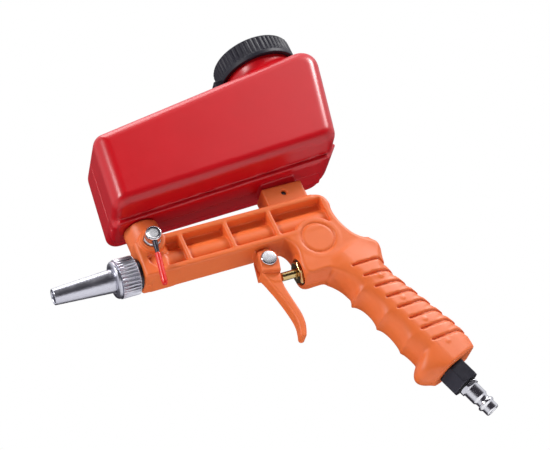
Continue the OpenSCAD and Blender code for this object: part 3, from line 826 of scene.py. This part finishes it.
def cap_tab():
    """A small thumb tab at the front of the cap's foot."""
    x1 = NECK_X - CAP_R
    clay = Clay((x1 - 7, -6, CAP_LOW - 4), (x1 + 3, 6, CAP_LOW + 4), TAB_CELL)
    clay.add(block(x1 - 6.4, x1 + 1.2, -4.9, 4.9, CAP_LOW - 2.9, CAP_LOW + 3.2, 1.1),
             (x1 - 20, -20, CAP_LOW - 20), (x1 + 20, 20, CAP_LOW + 20))
    points, faces = clay.surface()
    return new_piece("cap_thumb_tab", points, faces, FINISH["cap_plastic"], "cap", "cap_plastic")


# ---------------------------------------------------------------- nodes that stay as they are

KEPT_NODES = {  # by the finish they are shown in
    "steel": ["air_tube", "feed_spindle", "trigger_pin_clip", "spindle_clip", "valve_spring"],
    # The hopper pin is shown in black steel so that the post's hole looks dark: painted shade in the hole.
    "black_steel": ["hopper_pin"],
    "brass": ["air_jet", "valve_seat"],
    "rubber": ["jet_seal", "nozzle_seal", "stem_seal", "valve_poppet", "gland_washer", "inlet_seal",
               "spindle_seals", "outlet_gasket"],
    "foam": ["cap_liner"],
}


def dress_cad_nodes():
    for finish, names in KEPT_NODES.items():
        for name in names:
            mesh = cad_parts[name].data
            mesh.materials.clear()
            mesh.materials.append(FINISH[finish])


# ---------------------------------------------------------------- studio

CAMERA_AT = (-260.12, -999.61, -522.60)
CAMERA_RIGHT = (0.90088, -0.18216, -0.39400)
CAMERA_UP = (0.24490, -0.53612, 0.80782)
CAMERA_LENS = 108.4


def camera():
    data = bpy.data.cameras.new("camera")
    data.lens = CAMERA_LENS
    data.sensor_width = 36.0
    data.clip_start = 0.05
    eye = bpy.data.objects.new("camera", data)
    bpy.context.scene.collection.objects.link(eye)
    right, up = Vector(CAMERA_RIGHT).normalized(), Vector(CAMERA_UP).normalized()
    back = right.cross(up).normalized()
    turn = Matrix((right, back.cross(right), back)).transposed().to_4x4()
    eye.matrix_world = Matrix.Translation(Vector(CAMERA_AT) * MM) @ turn
    bpy.context.scene.camera = eye


LIT_POINT = (0.15, 0, 0.08)
LAMPS = [  # name, place, width and height in metres, watts
    ("side_panel", (1.08, -1.24, 1.38), 0.85, 1.3, 4.6),
    ("low_panel", (0.80, -1.61, 0.89), 0.42, 0.2, 0.33),
    ("key", (1.35, -0.75, 0.95), 0.4, 0.4, 20.0),
    ("front_lamp", (-0.95, -0.95, 0.75), 0.3, 0.5, 15.0),
    ("top_lamp", (0.25, -0.15, 1.7), 0.9, 0.9, 9.0),
]


def softbox(name, at, width, height, watts):
    """A rectangular lamp that faces the object."""
    data = bpy.data.lights.new(name, "AREA")
    data.shape = "RECTANGLE"
    data.size = width
    data.size_y = height
    data.energy = watts
    lamp = bpy.data.objects.new(name, data)
    bpy.context.scene.collection.objects.link(lamp)
    lamp.location = at
    lamp.rotation_euler = (Vector(LIT_POINT) - Vector(at)).to_track_quat("-Z", "Y").to_euler()


def studio_floor():
    half, floor_z = 0.8, -0.66
    corners = [(half * a, half * b, floor_z) for a, b in ((-1, -1), (1, -1), (1, 1), (-1, 1))]
    mesh = bpy.data.meshes.new("studio_floor")
    mesh.from_pydata(corners, [], [(0, 1, 2, 3)])
    floor = bpy.data.objects.new("studio_floor", mesh)
    bpy.context.scene.collection.objects.link(floor)
    pale = bpy.data.materials.new("studio_floor")
    pale.use_nodes = True
    pale.node_tree.nodes["Principled BSDF"].inputs["Base Color"].default_value = (0.86, 0.86, 0.86, 1)
    pale.node_tree.nodes["Principled BSDF"].inputs["Roughness"].default_value = 0.7
    mesh.materials.append(pale)


def studio():
    studio_floor()
    for name, at, width, height, watts in LAMPS:
        softbox(name, at, width, height, watts)
    bpy.context.scene.world = tent()
    bpy.context.scene.view_settings.view_transform = "Standard"


def tent():
    """A pale tent, dim in front of the object and behind it; the view straight past the object is white."""
    world = bpy.data.worlds.new("white_tent")
    world.use_nodes = True
    tree = world.node_tree
    coords = node(tree, "ShaderNodeTexCoord").outputs["Generated"]
    facing = node(tree, "ShaderNodeVectorMath", operation="DOT_PRODUCT")
    facing.inputs[1].default_value = (0.0, -0.98, 0.2)
    tree.links.new(coords, facing.inputs[0])
    turned_away = node(tree, "ShaderNodeMath", operation="ABSOLUTE")
    tree.links.new(facing.outputs["Value"], turned_away.inputs[0])
    gloom = ranged(tree, turned_away.outputs["Value"], 0.3, 0.72, 0.0, 1.0)
    shade = mixed(tree, gloom, (0.80, 0.80, 0.85), (0.04, 0.035, 0.045))
    seen = node(tree, "ShaderNodeLightPath").outputs["Is Camera Ray"]
    tree.links.new(mixed(tree, seen, shade, (1.0, 1.0, 1.0)), tree.nodes["Background"].inputs["Color"])
    return world


dress_cad_nodes()
gun_body()
trigger()
hopper()
nozzle_parts()
feed_lever_parts()
valve_parts()
inlet_parts()
cap_part()
cap_tab()
seam()
camera()
studio()
